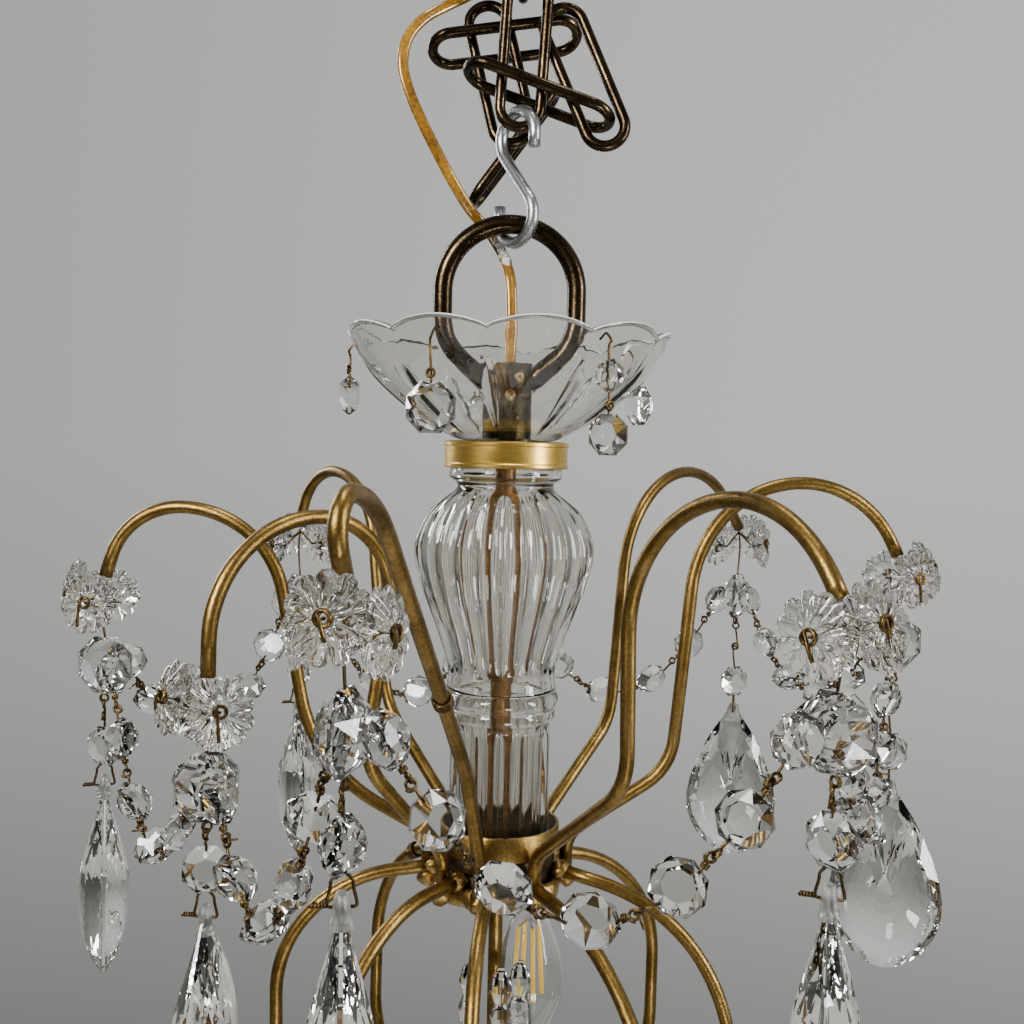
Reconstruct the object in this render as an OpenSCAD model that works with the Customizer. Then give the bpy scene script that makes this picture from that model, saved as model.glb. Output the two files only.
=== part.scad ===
// Small crystal chandelier: a glass baluster on a rod, hand-bent brass arms above and
// below it, cut drops and bead garlands, hung from a ceiling plate by chain and S-hook.
// Millimetres, Z up. The origin is the middle of the face that rests on the ceiling.
// Azimuths are in degrees from the front (-Y), positive towards the right (+X).

/* [Ceiling plate] */
// Diameter of the ceiling plate
plate_d = 64; // [56:1:80]
// Depth of the ceiling plate
plate_h = 12; // [10:1:16]
// Distance between the two screw holes
screw_gap = 44; // [38:1:48]
// Diameter of the screw holes
screw_hole_d = 4.6; // [4:0.2:5]

/* [Chain and hooks] */
// Diameter of the chain wire
link_wire_d = 5; // [4:0.5:5]
// Length of one chain link
link_len = 72; // [70:1:73]
// Width of one chain link
link_w = 23; // [22:0.5:23]
// Diameter of the S-hook wire
s_wire_d = 5.4; // [4:0.2:5.4]
// Bend radius of the S-hook loops
s_loop_r = 11.5; // [11:0.5:12]
// Turn of the S-hook about the vertical
s_turn = -50; // [-60:1:-40]

/* [Hanging ring] */
// Diameter of the ring wire
ring_wire_d = 8.6; // [7:0.2:8.6]
// Bend radius of the top of the ring
ring_r = 30; // [28:1:32]
// Height of the middle of the ring wire at its top
ring_top_z = -137; // [-137:0.5:-136.5]

/* [Bowl] */
// Radius of the bowl at its rim
bowl_r = 72; // [66:1:76]
// Height of the bowl rim
bowl_rim_z = -187; // [-190:1:-180]
// Height of the underside of the bowl
bowl_foot_z = -234; // [-234:1:-234]
// Thickness of the bowl glass
bowl_wall = 3; // [2.5:0.5:4]
// Thickness of the pendants on the rim
rim_drop_t = 9; // [8:0.5:10]

/* [Glass stem] */
// Radius of the gilt collar under the bowl
collar_r = 28.2; // [26:0.2:30]
// Largest radius of the baluster
baluster_r = 40; // [36:1:42]
// Radius of the fluted column
column_r = 22.5; // [21:0.5:24]
// Thickness of the stem glass
stem_wall = 5; // [4:0.5:7]
// Diameter of the threaded centre tube
rod_d = 10; // [8:0.5:10]

/* [Arms] */
// Diameter of the arm tube
tube_d = 6; // [5:0.5:6]
// Radius at which the upper arms stand on the hub
post_r = 32; // [32:0.5:33]
// Height of the foot of the upper arms
post_z = -436; // [-437:0.5:-435]
// Height at which the lower arms leave the hub
spring_z = -428; // [-430:0.5:-427]
// Height at which the lower arms turn inwards
cage_turn_z = -520; // [-530:1:-515]
// Bend radius at the bottom of the lower arms
cage_r = 48; // [40:1:50]

/* [Crystals] */
// Diameter of a rosette
rosette_d = 28; // [24:1:30]
// Thickness of a rosette
rosette_t = 7; // [6:0.5:8]
// Diameter of a garland octagon
bead_d = 19; // [16:0.5:20]
// Thickness of a garland octagon
bead_t = 10; // [8:0.5:12]
// Diameter of the octagon under a rosette
big_bead_d = 28; // [26:1:30]
// Width of an almond drop
drop_w = 54; // [46:1:56]
// Length of an almond drop
drop_len = 93; // [86:1:96]
// Thickness of an almond drop
drop_t = 23; // [20:1:26]
// Diameter of the pin wire
pin_d = 1.4; // [1:0.1:1.6]

/* [Lamp] */
// Diameter of the candle bulb
bulb_d = 35; // [33:0.5:37]
// Length of the bulb glass
bulb_len = 76; // [70:1:78]
// Radius at which the lamp stands from the centre
lamp_r = 31; // [29:1:32]
// Azimuth of the lamp
lamp_az = 149; // [140:1:155]

/* [Hidden] */
$fn = 48;

// Colours
BRONZE = [0.24, 0.17, 0.11];
GILT = [0.60, 0.43, 0.18];
ZINC = [0.70, 0.72, 0.73];
CLEAR = [0.86, 0.90, 0.92, 0.45];
WIRE = [0.28, 0.20, 0.12];
AMBER = [0.72, 0.50, 0.16];

// Cutters run past the face they cut by this much
over = 1;

// Ceiling plate and eye; the web is what the screw heads clamp
plate_edge = 3;
plate_slope = 4;
plate_cap_r = 14;
screw_head_d = 9;
screw_web = 4;
eye_x = 3;
eye_r = 11;
eye_wire_d = 5;
eye_low_z = -37;

// Chain: each link has a middle, a tilt about X and Y, and a spin about its own length
link_r = (link_w - link_wire_d) / 2;
link_run = link_len - link_w;
LINKS = [
    [[4, -2, -61.3], 0, 3, 0],
    [[31, 1.5, -71], -7, -23, 0],
    [[11, 0, -80], 0, 109, 74],
    [[-5, 21, -50], 0, 82, 60],
    [[-7, 19, -65], -8, -14, 0],
    [[0, 30, -96], 0, 36, 90]
];

// S-hook, measured from the bottom of its lower loop
s_low_z = -145.2;
s_high_z = -87.3;
s_tip = 6;
s_reach = (s_high_z - s_low_z) - 2 * s_loop_r;
s_lean = asin(2 * s_loop_r / s_reach);
s_run = sqrt(pow(s_reach, 2) - pow(2 * s_loop_r, 2));

s_hook_x = 2;
S_MOVES = [[s_tip, s_loop_r, 180 + s_lean], [s_run, s_loop_r, -180 - s_lean], [s_tip, 0, 0]];

// Hanging ring, one limb from the top down
ring_drop = 12;
limb_r = 24;
limb_turn = 50;
limb_run = 16;
LIMB_MOVES = [[0, ring_r, -90], [ring_drop, limb_r, -limb_turn], [limb_run, 0, 0]];
wire_sides = 12;

// Boss inside the bowl
boss_r = 11;
boss_top_z = -199;
boss_foot_z = -230.8;
boss_screw_r = 2.6;
boss_screw_t = 2;
boss_screw_z = [-205, -213];
boss_screw_az = [25, 5];
rod_gap = 0.3;

// Bowl outline from foot to rim, outside
BOWL = [[17, bowl_foot_z], [26, -231.8], [43, -221.5], [61, -205.5], [bowl_r, bowl_rim_z]];
// Rim pendants: azimuth, drop from the pin to the octagon, and its diameter
RIM_DROPS = [[-97, 14, 19], [-24, 20, 22], [34, 31, 18], [120, 14, 20], [192, 18, 20]];
rim_pin_r = bowl_r - 3;
rim_pin_z = bowl_rim_z - 4;
rim_drop_out = 4;
rim_bead_d = 14;

// Glass stem
collar_z = [-246, bowl_foot_z];
BALUSTER = [[25, -246], [25.5, -250], [22, -255], [34, -266], [baluster_r, -282], [36.5, -300],
    [29, -320], [24.5, -336], [25, -346]];
COLUMN = [[25.5, -346], [26, -350], [24.5, -354], [25, -357], [column_r, -361], [column_r, -418]];
cup_r = 28;
cup_wall = 1.5;
cup_rim_z = -407;
cup_floor_z = -418;
cup_foot_z = -426;
hub_in_r = 24.5;
hub_out_r = 28.9;
hub_z = [-440, -430];
hub_web_t = 3;
rod_z = [-440, -205];
rod_bore = 7;

// Upper arms: azimuth, foot slope and run, knee radius, leg slope and run,
// inner and outer arch radius, tip slope and run
foot_post = 14;
foot_r = 14;
UPPER = [
    [-91, 28, 17.8, 70, 79, 48.4, 48, 33, -73, 10],
    [-140, 36, 51.1, 36, 80, 71.6, 44, 34, -76, 7],
    [-48, 48, 44.9, 28, 100, 49.7, 35, 47, -89, 13],
    [-13, 60, 44.4, 45, 47, 138.1, 49, 11, -118, 14],
    [140, 36, 50.1, 28, 83, 63.7, 59, 65, -45, 20],
    [31, 36, 58.8, 28, 91, 42.2, 57, 54, -57, 5],
    [98, 32, 35.1, 28, 85, 69.6, 55, 49, -63, 7],
    [180, 38, 30.1, 36, 92, 69.9, 34, 30, -75, 15]
];
function arm_moves(a) = [
    [foot_post, foot_r, a[1] - 90],
    [a[2], a[3], a[4] - a[1]],
    [a[5], a[6], -a[4]],
    [0, a[7], a[8]],
    [a[9], 0, 0]
];

// Lower arms: azimuth, slope at the hub, first run, shoulder radius
spring_r = 29;
cage_end_r = 38;
LOWER = [
    [-85, -6, 18, 59],
    [-37, -1, 18, 56],
    [-137, -12, 15, 59],
    [-5, -2, 15, 54],
    [30, -4, 22, 80],
    [80, -13, 16, 83],
    [123, -7, 9, 65],
    [180, -8, 15, 60]
];
function shoulder(a) = [
    spring_r + a[2] * cos(a[1]) + a[3] * (1 + sin(a[1])),
    spring_z + a[2] * sin(a[1]) - a[3] * cos(a[1])
];
function cage_moves(a) = [
    [a[2], a[3], -90 - a[1]],
    [shoulder(a)[1] - cage_turn_z, cage_r, -90],
    [shoulder(a)[0] - cage_r - cage_end_r, 0, 0]
];

// A bent tube is a list of moves [straight run, bend radius, bend angle], and its end
// is [reach, height, slope]
function step_end(p, m) = let (
    s = sign(m[2]),
    x = p[0] + m[0] * cos(p[2]) - s * m[1] * sin(p[2]),
    z = p[1] + m[0] * sin(p[2]) + s * m[1] * cos(p[2]),
    h = p[2] + (m[1] > 0 ? m[2] : 0)
) [x + s * m[1] * sin(h), z - s * m[1] * cos(h), h];
function tube_end(p, moves, i = 0) = i == len(moves) ? p
    : tube_end(step_end(p, moves[i]), moves, i + 1);
function move_path(p, m) = m[1] == 0 ? [step_end(p, m)] : let (n = ceil(abs(m[2]) / bend_step))
    [for (i = [m[0] > 0 ? 0 : 1 : n]) step_end(p, [m[0], m[1], m[2] * i / n])];
function moves_path(p, moves, i = 0) = i == len(moves) ? []
    : concat(move_path(p, moves[i]), moves_path(step_end(p, moves[i]), moves, i + 1));
function tube_path(p, moves) = concat([p], moves_path(p, moves));
arm_sides = 10;
bend_step = 15;
TIPS = [for (a = UPPER) tube_end([post_r, post_z, 90], arm_moves(a))];
function polar(r, az, z) = [r * sin(az), -r * cos(az), z];
function tip(i) = polar(TIPS[i][0], UPPER[i][0], TIPS[i][1]);

// Rosettes at each arm end: reach out from the tip, turn about the arm, and height
ROSETTES = [[14, 0, -6], [13, 78, -11], [13, -78, -10]];
rosette_lean = 12;
big_bead_t = 13;
big_bead_z = -41;
pin_root = 2;

// Drop hung from each arm: height of the almond's top below the arm end
hinge_drop = 58;
stub_len = 3;
ALMOND_TOP = [92, 98, 86, 88, 106, 88, 108, 98];
// Turn of each almond about the vertical; at 0 its width runs left to right
DROP_TURN = [109, 108, 85, 98, -15, 72, -20, 0];
neck_w = 10;
neck_t = 7;
neck_len = 8;
// Almond outlines below the neck: share of the half width or thickness, share of the length
ALMOND_FRONT = [[0.72, 0.38], [1, 0.62], [0.84, 0.82], [0.4, 0.96]];
ALMOND_SIDE = [[1, 0.55], [0.8, 0.82]];
wire_gap = 4;
pin_in = 0.5;

// Garlands: first arm, second arm, sag
SWAGS = [[3, 5, 78], [5, 6, 80], [6, 4, 60], [4, 7, 70], [7, 1, 70], [1, 0, 70], [0, 2, 72], [2, 3, 75]];
swag_drop = 20;
swag_start = 26;
bead_pitch = 27;
swag_steps = 60;
function swag_at(w, t) = let (a = tip(w[0]), b = tip(w[1]))
    a + (b - a) * t - [0, 0, swag_drop + 4 * w[2] * t * (1 - t)];
function swag_table(w, i = 0, sum = 0) = i > swag_steps ? [] : concat(
    [[sum, i / swag_steps]],
    swag_table(w, i + 1, sum + norm(swag_at(w, (i + 1) / swag_steps) - swag_at(w, i / swag_steps)))
);

// Stem, lamp and finial
stem_d = 6.5;
plate_z = [-571, -565];
holder_d = 27;
holder_z = [plate_z[1], -526];
bulb_foot_z = -524;
cap_r = 7;
cap_len = 24;
cap_gap = 0.3;
BULB = [[7.5, 0], [11, 8], [16.5, 22], [17.5, 31], [15.5, 44], [9, 61], [3.5, 71], [0.6, bulb_len]];
finial_r = 13;
finial_len = 36;
FINIAL = [[6, 0], [5, 5], [finial_r, 14], [finial_r - 1, 22], [4, 30], [3, 34]];
spindle_len = 34;
spindle_r = 5;
SPINDLE_AZ = [-70, 15, 75];
spindle_out = 12;
spindle_top_z = -472;

// Flex: hand-laid route from the ceiling plate to the ring, then into the boss
flex_d = 5;
flex_sides = 8;
FLEX_UPPER = [[-15, 12, -15], [-16.5, 12, -23], [-20, 10, -32], [-30, 4, -40], [-40, -2, -48],
    [-47, -6, -58], [-49, -8, -70], [-46, -8, -82], [-40, -7, -95], [-33, -5, -108],
    [-26, -2, -120], [-19, 3, -130], [-12, 8, -137]];
FLEX_LOWER = [[-11, 9.4, -138], [-7, 12, -143], [-3, 12, -150], [0, 8, -160], [1, 6.5, -172],
    [1, 6, -184], [1, 6, -199]];

// Smooth curve through points, several steps to a span
curve_steps = 5;
function clamp_i(i, n) = max(0, min(n - 1, i));
function blend(a, b, c, d, t) = b + 0.5 * t * (c - a + t * (2 * a - 5 * b + 4 * c - d
    + t * (3 * (b - c) + d - a)));
function smooth(p, steps) = let (n = len(p)) concat(
    [for (i = [0:n - 2]) for (k = [0:steps - 1])
        blend(p[clamp_i(i - 1, n)], p[i], p[i + 1], p[clamp_i(i + 2, n)], k / steps)],
    [p[n - 1]]
);

// Round closed tube along a list of points, as one polyhedron; side is a direction that
// the route never runs along
function unit(v) = v / norm(v);
function heading(p, i) = unit(p[clamp_i(i + 1, len(p))] - p[clamp_i(i - 1, len(p))]);
module route_tube(p, d, n, side) {
    points = [for (i = [0:len(p) - 1]) let (h = heading(p, i), u = unit(cross(h, side)), v = cross(h, u))
        for (k = [0:n - 1]) p[i] + d / 2 * (u * cos(360 * k / n) + v * sin(360 * k / n))];
    last = (len(p) - 1) * n;
    faces = concat(
        [[for (k = [0:n - 1]) k]],
        [for (i = [0:len(p) - 2]) for (k = [0:n - 1])
            [i * n + k, (i + 1) * n + k, (i + 1) * n + (k + 1) % n, i * n + (k + 1) % n]],
        [[for (k = [n - 1:-1:0]) last + k]]
    );
    polyhedron(points, faces);
}

module at(az) rotate([0, 0, az - 90]) children();

// Quarter-plane bend that starts at the origin along +X and curves towards +Z
module bend(r, angle, d) rotate([90, 0, 0]) translate([0, r, 0]) rotate([0, 0, -90])
    rotate_extrude(angle = angle) translate([r, 0]) circle(d = d);

module bent_tube(moves, d, i = 0) {
    if (i < len(moves)) {
        run = moves[i][0];
        r = moves[i][1];
        turn = moves[i][2];
        if (run > 0) rotate([0, 90, 0]) cylinder(h = run, d = d);
        if (r > 0) translate([run, 0, 0]) {
            mirror([0, 0, turn < 0 ? 1 : 0]) bend(r, abs(turn), d);
            translate([r * sin(abs(turn)), 0, sign(turn) * r * (1 - cos(turn))])
                rotate([0, -turn, 0]) bent_tube(moves, d, i + 1);
        } else translate([run, 0, 0]) bent_tube(moves, d, i + 1);
    }
}

// Body turned about Z between an outer and an inner outline
module turned(outer, wall) rotate_extrude() polygon(concat(
    outer,
    [for (i = [len(outer) - 1:-1:0]) [outer[i][0] - wall, outer[i][1]]]
));

module octagon(d, t) rotate([90, 0, 0]) rotate([0, 0, 22.5]) translate([0, 0, -t / 2])
    cylinder(h = t, d = d, $fn = 8);

module ceiling_plate() color(BRONZE) difference() {
    rotate_extrude() polygon([
        [eye_wire_d / 2 + rod_gap, 0],
        [plate_d / 2, 0],
        [plate_d / 2, -plate_edge],
        [plate_d / 2 - plate_slope, plate_edge - plate_h],
        [plate_cap_r, -plate_h],
        [eye_wire_d / 2 + rod_gap, -plate_h]
    ]);
    for (s = [-1, 1]) translate([s * screw_gap / 2, 0, -plate_h - over]) {
        cylinder(h = plate_h + 2 * over, d = screw_hole_d);
        cylinder(h = plate_h + over - screw_web, d = screw_head_d);
    }
}

module ceiling_eye() color(BRONZE) {
    eye_top_z = eye_low_z + 2 * eye_r;
    translate([0, 0, eye_top_z]) cylinder(h = -eye_top_z, d = eye_wire_d);
    translate([eye_x, 0, eye_low_z + eye_r]) rotate([0, 0, 90]) rotate([90, 0, 0])
        rotate_extrude() translate([eye_r, 0]) circle(d = eye_wire_d);
}

module chain_link(i) color(BRONZE) {
    l = LINKS[i];
    translate(l[0]) rotate([l[1], l[2], 0]) rotate([0, 0, l[3]]) rotate([0, 90, 0])
        translate([-link_run / 2, 0, -link_r])
            bent_tube([[link_run, link_r, 180], [link_run, link_r, 180]], link_wire_d);
}

module s_hook() color(ZINC) translate([s_hook_x, 0, s_low_z + s_loop_r]) rotate([0, 0, s_turn])
    route_tube([for (q = tube_path([-s_loop_r, s_tip, -90], S_MOVES)) [q[0], 0, q[1]]],
        s_wire_d, wire_sides, [0, 1, 0]);

module hanging_ring() color(BRONZE) {
    limb = tube_path([0, ring_top_z, 0], LIMB_MOVES);
    n = len(limb);
    route_tube(concat(
        [for (i = [n - 1:-1:1]) [-limb[i][0], 0, limb[i][1]]],
        [for (q = limb) [q[0], 0, q[1]]]
    ), ring_wire_d, wire_sides, [0, 1, 0]);
}

module flex_upper() color(AMBER) route_tube(smooth(FLEX_UPPER, 2), flex_d, flex_sides, [0, 1, 0]);
module flex_lower() color(AMBER) route_tube(smooth(FLEX_LOWER, 2), flex_d, flex_sides, [0, 1, 0]);

module boss() color(BRONZE) difference() {
    translate([0, 0, boss_foot_z]) cylinder(h = boss_top_z - boss_foot_z, r = boss_r);
    translate([0, 0, boss_foot_z - over])
        cylinder(h = rod_z[1] - boss_foot_z + over, d = rod_d + 2 * rod_gap);
}

module boss_screws() color(ZINC) for (i = [0, 1]) at(boss_screw_az[i])
    translate([boss_r, 0, boss_screw_z[i]]) rotate([0, 90, 0]) cylinder(h = boss_screw_t, r = boss_screw_r);

module bowl() color(CLEAR) difference() {
    rotate_extrude() polygon(concat(
        smooth(BOWL, curve_steps),
        bowl_inside()
    ));
    translate([0, 0, bowl_foot_z - over]) cylinder(h = 2 * bowl_wall, d = rod_d + 2 * rod_gap);
}
function bowl_inside() = let (p = smooth(BOWL, curve_steps), n = len(p)) concat(
    [for (i = [n - 1:-1:1]) [p[i][0] - bowl_wall, p[i][1] + (i == n - 1 ? 0 : bowl_wall / 2)]],
    [[p[0][0], bowl_foot_z + bowl_wall], [0, bowl_foot_z + bowl_wall], [0, bowl_foot_z]]
);

// The longest rim pendant has a small octagon on its wire
module bowl_drop(i) color(CLEAR) {
    q = RIM_DROPS[i];
    at(q[0]) translate([rim_pin_r + rim_drop_out, 0, rim_pin_z]) {
        translate([0, 0, -q[1] - q[2] / 2]) rotate([0, 0, 90]) octagon(q[2], rim_drop_t);
        translate([0, 0, -q[1] - over]) cylinder(h = q[1] + over, d = pin_d);
        if (q[1] > 2 * rim_bead_d) translate([0, 0, -q[1] / 2 - over])
            rotate([0, 0, 90]) octagon(rim_bead_d, rim_drop_t);
    }
}

module collar() color(GILT) translate([0, 0, collar_z[0]]) difference() {
    cylinder(h = collar_z[1] - collar_z[0], r = collar_r);
    translate([0, 0, -over]) cylinder(h = collar_z[1] - collar_z[0] + 2 * over, d = rod_d + 2 * rod_gap);
}

module baluster() color(CLEAR) turned(smooth(BALUSTER, curve_steps), stem_wall);
module column() color(CLEAR) turned(COLUMN, stem_wall);

module centre_rod() color(GILT) translate([0, 0, rod_z[0]]) difference() {
    cylinder(h = rod_z[1] - rod_z[0], d = rod_d);
    translate([0, 0, -over]) cylinder(h = rod_z[1] - rod_z[0] + 2 * over, d = rod_bore);
}

module hub_cup() color(GILT) difference() {
    translate([0, 0, cup_foot_z]) cylinder(h = cup_rim_z - cup_foot_z, r = cup_r);
    translate([0, 0, cup_floor_z]) cylinder(h = cup_rim_z - cup_floor_z + over, r = cup_r - cup_wall);
    translate([0, 0, cup_foot_z - over]) cylinder(h = cup_rim_z - cup_foot_z, d = rod_d + 2 * rod_gap);
}

module hub_ring() color(GILT) difference() {
    translate([0, 0, hub_z[0]]) cylinder(h = hub_z[1] - hub_z[0], r = hub_out_r);
    translate([0, 0, hub_z[0] + hub_web_t]) cylinder(h = hub_z[1] - hub_z[0], r = hub_in_r);
    translate([0, 0, hub_z[0] - over]) cylinder(h = hub_web_t + 2 * over, d = rod_d + 2 * rod_gap);
}

module arm_tube(az, start, moves) color(GILT) route_tube(
    [for (q = tube_path(start, moves)) polar(q[0], az, q[1])], tube_d, arm_sides, polar(1, az + 90, 0));
module upper_arm(i) arm_tube(UPPER[i][0], [post_r, post_z, 90], arm_moves(UPPER[i]));
module lower_arm(i) arm_tube(LOWER[i][0], [spring_r, spring_z, LOWER[i][1]], cage_moves(LOWER[i]));

module stem() color(GILT) translate([0, 0, plate_z[1]])
    cylinder(h = hub_z[0] - plate_z[1], d = stem_d);

// Three rosettes round each arm end, with an octagon below them
module arm_head(i) translate(tip(i)) rotate([0, 0, UPPER[i][0] - 90]) children();

module rosettes() color(CLEAR) for (i = [0:7]) arm_head(i) {
    for (q = ROSETTES) translate([0, 0, q[2]]) rotate([0, 0, q[1]]) translate([q[0], 0, 0])
        rotate([0, 90 + rosette_lean, 0]) translate([0, 0, -rosette_t / 2])
            cylinder(h = rosette_t, d = rosette_d, $fn = 10);
}

module rosette_pins() color(WIRE) for (i = [0:7]) arm_head(i) {
    translate([0, 0, big_bead_z + big_bead_d / 2])
        cylinder(h = pin_root - big_bead_z - big_bead_d / 2, d = pin_d);
    translate([0, 0, -hinge_drop]) cylinder(h = stub_len, d = pin_d);
}

module hung_octagon(w, s) {
    table = swag_table(w);
    a = swag_at(w, lookup(s - 1, table));
    b = swag_at(w, lookup(s + 1, table));
    d = unit(b - a);
    translate((a + b) / 2) rotate([0, -asin(d[2]), atan2(d[1], d[0])]) children();
}
function swag_count(w) = floor((swag_table(w)[swag_steps][0] - 2 * swag_start) / bead_pitch);
function swag_pitch(w) = (swag_table(w)[swag_steps][0] - 2 * swag_start) / swag_count(w);

module garland_beads() color(CLEAR) {
    for (w = SWAGS) for (k = [0:swag_count(w)])
        hung_octagon(w, swag_start + k * swag_pitch(w)) octagon(bead_d, bead_t);
    for (i = [0:7]) arm_head(i) translate([0, 0, big_bead_z]) rotate([0, 0, 90])
        octagon(big_bead_d, big_bead_t);
    for (az = SPINDLE_AZ) at(az) translate([spindle_out, 0, spindle_top_z - spindle_len])
        cylinder(h = spindle_len, r = spindle_r, $fn = 8);
}

module garland_links() color(WIRE) for (w = SWAGS) for (k = [0:swag_count(w) - 1]) {
    gap = swag_pitch(w) - bead_d * cos(22.5);
    hung_octagon(w, swag_start + (k + 0.5) * swag_pitch(w))
        rotate([0, 90, 0]) translate([0, 0, -gap / 2]) cylinder(h = gap, d = pin_d);
}

function almond_half(w, t, rows) = concat(
    [[t / 2, 0], [t / 2, -neck_len]],
    [for (q = rows) [w / 2 * q[0], -drop_len * q[1]]]
);
function mirrored(p) = concat(p, [[0, -drop_len]], [for (i = [len(p) - 1:-1:0]) [-p[i][0], p[i][1]]]);
module almond() intersection() {
    rotate([90, 0, 0]) translate([0, 0, -drop_t / 2]) linear_extrude(drop_t)
        polygon(mirrored(almond_half(drop_w, neck_w, ALMOND_FRONT)));
    rotate([90, 0, 90]) translate([0, 0, -drop_w / 2]) linear_extrude(drop_w)
        polygon(mirrored(almond_half(drop_t, neck_t, ALMOND_SIDE)));
}

// One string: pin, octagon, wire fork and almond
module pendalogue(i) color(CLEAR) arm_head(i) {
    bead_top = -hinge_drop - wire_gap;
    translate([0, 0, bead_top - over]) cylinder(h = wire_gap + pin_in, d = pin_d);
    translate([0, 0, bead_top - bead_d / 2]) rotate([0, 0, 90]) octagon(bead_d, bead_t);
    translate([0, 0, -ALMOND_TOP[i] - over])
        cylinder(h = ALMOND_TOP[i] + bead_top - bead_d + over + stub_len - over, d = pin_d);
    translate([0, 0, -ALMOND_TOP[i]]) rotate([0, 0, 90 - UPPER[i][0] + DROP_TURN[i]]) almond();
}

module lamp_plate() color(GILT) difference() {
    translate([0, 0, plate_z[0]]) cylinder(h = plate_z[1] - plate_z[0], r = cage_end_r);
    translate([0, 0, plate_z[0] - over]) cylinder(h = stub_len + over, d = stem_d);
}

module finial() color(GILT) translate([0, 0, plate_z[0]]) mirror([0, 0, 1]) rotate_extrude() polygon(concat(
    [[0, 0]],
    smooth(FINIAL, curve_steps),
    [[0, finial_len]]
));

module lamp_holder() color(BRONZE) at(lamp_az) translate([lamp_r, 0, holder_z[0]]) difference() {
    cylinder(h = holder_z[1] - holder_z[0], d = holder_d);
    translate([0, 0, holder_z[1] - holder_z[0] - cap_len - over])
        cylinder(h = cap_len + 2 * over, r = cap_r + cap_gap);
}

module bulb() color(CLEAR) at(lamp_az) translate([lamp_r, 0, bulb_foot_z]) {
    rotate_extrude() polygon(concat([[0, 0]], smooth(BULB, curve_steps), [[0, bulb_len]]));
    translate([0, 0, -cap_len]) cylinder(h = cap_len + over, r = cap_r);
}

ceiling_plate();
ceiling_eye();
for (i = [0:5]) chain_link(i);
s_hook();
hanging_ring();
flex_upper();
flex_lower();
boss();
boss_screws();
bowl();
for (i = [0:4]) bowl_drop(i);
collar();
baluster();
column();
centre_rod();
hub_cup();
hub_ring();
for (i = [0:7]) upper_arm(i);
for (i = [0:7]) lower_arm(i);
stem();
rosettes();
rosette_pins();
garland_beads();
garland_links();
for (i = [0:7]) pendalogue(i);
lamp_plate();
finial();
lamp_holder();
bulb();
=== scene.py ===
"""Small crystal chandelier: the looks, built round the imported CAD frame. Metres, Z up."""
import math
import random

import bmesh
import bpy
from mathutils import Matrix, Vector


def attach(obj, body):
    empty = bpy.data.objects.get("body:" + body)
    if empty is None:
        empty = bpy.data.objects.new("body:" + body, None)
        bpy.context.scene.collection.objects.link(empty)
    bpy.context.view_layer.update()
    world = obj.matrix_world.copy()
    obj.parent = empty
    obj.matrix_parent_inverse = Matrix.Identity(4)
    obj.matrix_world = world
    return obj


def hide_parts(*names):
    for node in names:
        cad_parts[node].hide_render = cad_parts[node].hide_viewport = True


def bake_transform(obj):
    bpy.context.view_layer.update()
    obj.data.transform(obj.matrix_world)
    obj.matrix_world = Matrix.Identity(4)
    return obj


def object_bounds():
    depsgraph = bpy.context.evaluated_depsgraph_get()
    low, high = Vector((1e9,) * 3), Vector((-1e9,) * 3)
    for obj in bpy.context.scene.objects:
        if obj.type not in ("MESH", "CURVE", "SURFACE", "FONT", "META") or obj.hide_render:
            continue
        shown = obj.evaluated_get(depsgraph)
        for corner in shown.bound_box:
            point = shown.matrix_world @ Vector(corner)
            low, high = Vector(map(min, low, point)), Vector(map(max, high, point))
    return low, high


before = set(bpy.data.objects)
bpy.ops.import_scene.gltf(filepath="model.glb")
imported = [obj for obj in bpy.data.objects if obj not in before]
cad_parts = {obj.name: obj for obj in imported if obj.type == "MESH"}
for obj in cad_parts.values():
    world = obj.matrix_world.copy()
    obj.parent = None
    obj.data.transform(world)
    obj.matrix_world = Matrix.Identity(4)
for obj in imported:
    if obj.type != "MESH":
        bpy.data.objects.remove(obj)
cad_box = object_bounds()
MM = 0.001
rng = random.Random(7)


# ---------------------------------------------------------------- camera, light, floor
EYE_LEVEL = -0.240
VIEW_DISTANCE = 0.520
VIEW_SIDE = 0.0032
VIEW_PITCH = 2.84
VIEW_ROLL = 1.3
SENSOR, LENS = 36.0, 40.43
FLOOR_DROP = 0.9


def make_camera():
    data = bpy.data.cameras.new("camera")
    data.sensor_width = SENSOR
    data.lens = LENS
    data.clip_start = 0.01
    cam = bpy.data.objects.new("camera", data)
    bpy.context.scene.collection.objects.link(cam)
    turn = Matrix.Rotation(math.radians(90 - VIEW_PITCH), 4, "X")
    roll = Matrix.Rotation(math.radians(VIEW_ROLL), 4, "Z")
    cam.matrix_world = Matrix.Translation((VIEW_SIDE, -VIEW_DISTANCE, EYE_LEVEL)) @ turn @ roll
    bpy.context.scene.camera = cam


def area_light(name, place, target, size, power, color=(1, 1, 1)):
    data = bpy.data.lights.new(name, "AREA")
    data.shape = "RECTANGLE"
    data.size, data.size_y = size
    data.energy = power
    data.color = color
    lamp = bpy.data.objects.new(name, data)
    bpy.context.scene.collection.objects.link(lamp)
    aim = (Vector(target) - Vector(place)).to_track_quat("-Z", "Y")
    lamp.matrix_world = Matrix.Translation(place) @ aim.to_matrix().to_4x4()


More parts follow.
